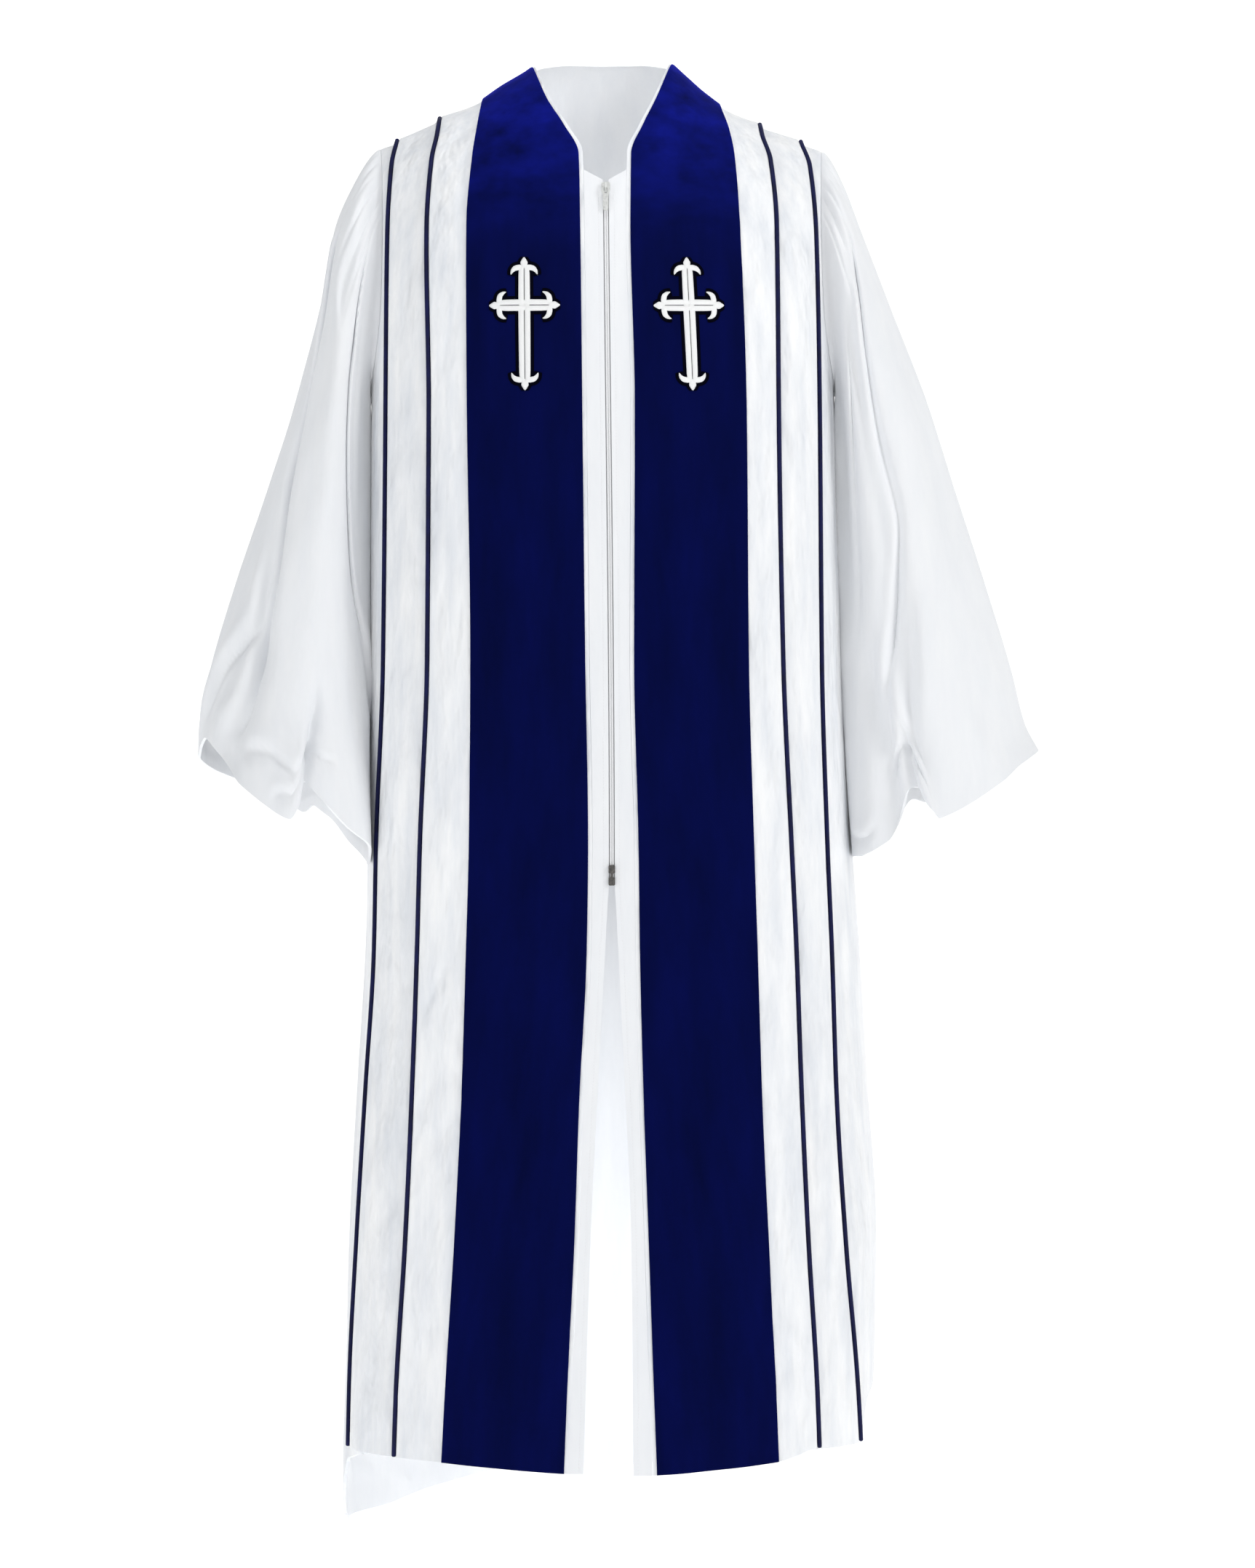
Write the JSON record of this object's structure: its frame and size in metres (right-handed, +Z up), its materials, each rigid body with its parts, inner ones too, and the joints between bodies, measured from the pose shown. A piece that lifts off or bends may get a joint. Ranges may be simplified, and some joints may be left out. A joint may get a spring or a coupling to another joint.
{
  "type": "clergy robe",
  "caption": "White clergy robe filled out with no wearer: bell sleeves, piped flutes, velvet bands each with an applied cross, front zip with a hinged pull tab.",
  "frame": {"origin": "halfway between the two neck points, level with them, where the wearer's shoulders hold the robe", "axes": "+Z up, the front faces -Y, +X is the wearer's left"},
  "size_m": [0.8534, 0.4066, 1.5032],
  "materials": {
    "cloth": "smooth crepe",
    "velvet": "short pile velvet",
    "piping": "satin piping",
    "embroidery": "satin stitch",
    "zip_coil": "moulded",
    "zip_tape": "woven tape",
    "pale_metal": "satin enamel",
    "dark_metal": "dull"
  },
  "bodies": {
    "robe": {"front_right": "cloth", "front_left": "cloth", "back": "cloth", "sleeve_right": "cloth", "sleeve_left": "cloth", "placket_right": "cloth", "placket_left": "cloth", "velvet_band_right": "velvet", "velvet_band_left": "velvet", "piping_right_1": "piping", "piping_right_2": "piping", "piping_left_1": "piping", "piping_left_2": "piping", "cross_right": "embroidery", "cross_left": "embroidery", "zip_chain": "zip_coil", "zip_tape_right": "zip_tape", "zip_tape_left": "zip_tape", "zip_slider": "pale_metal", "zip_end_box": "dark_metal"},
    "pull_tab": {"zip_pull_tab": "pale_metal"}
  },
  "joints": [
    {"name": "pull_tab_hinge", "type": "hinge", "parent": "robe", "child": "pull_tab", "pos_m": [0.00114, -0.10898, -0.13436], "axis": [-1, 0, 0], "range_deg": [0, 165]}
  ]
}
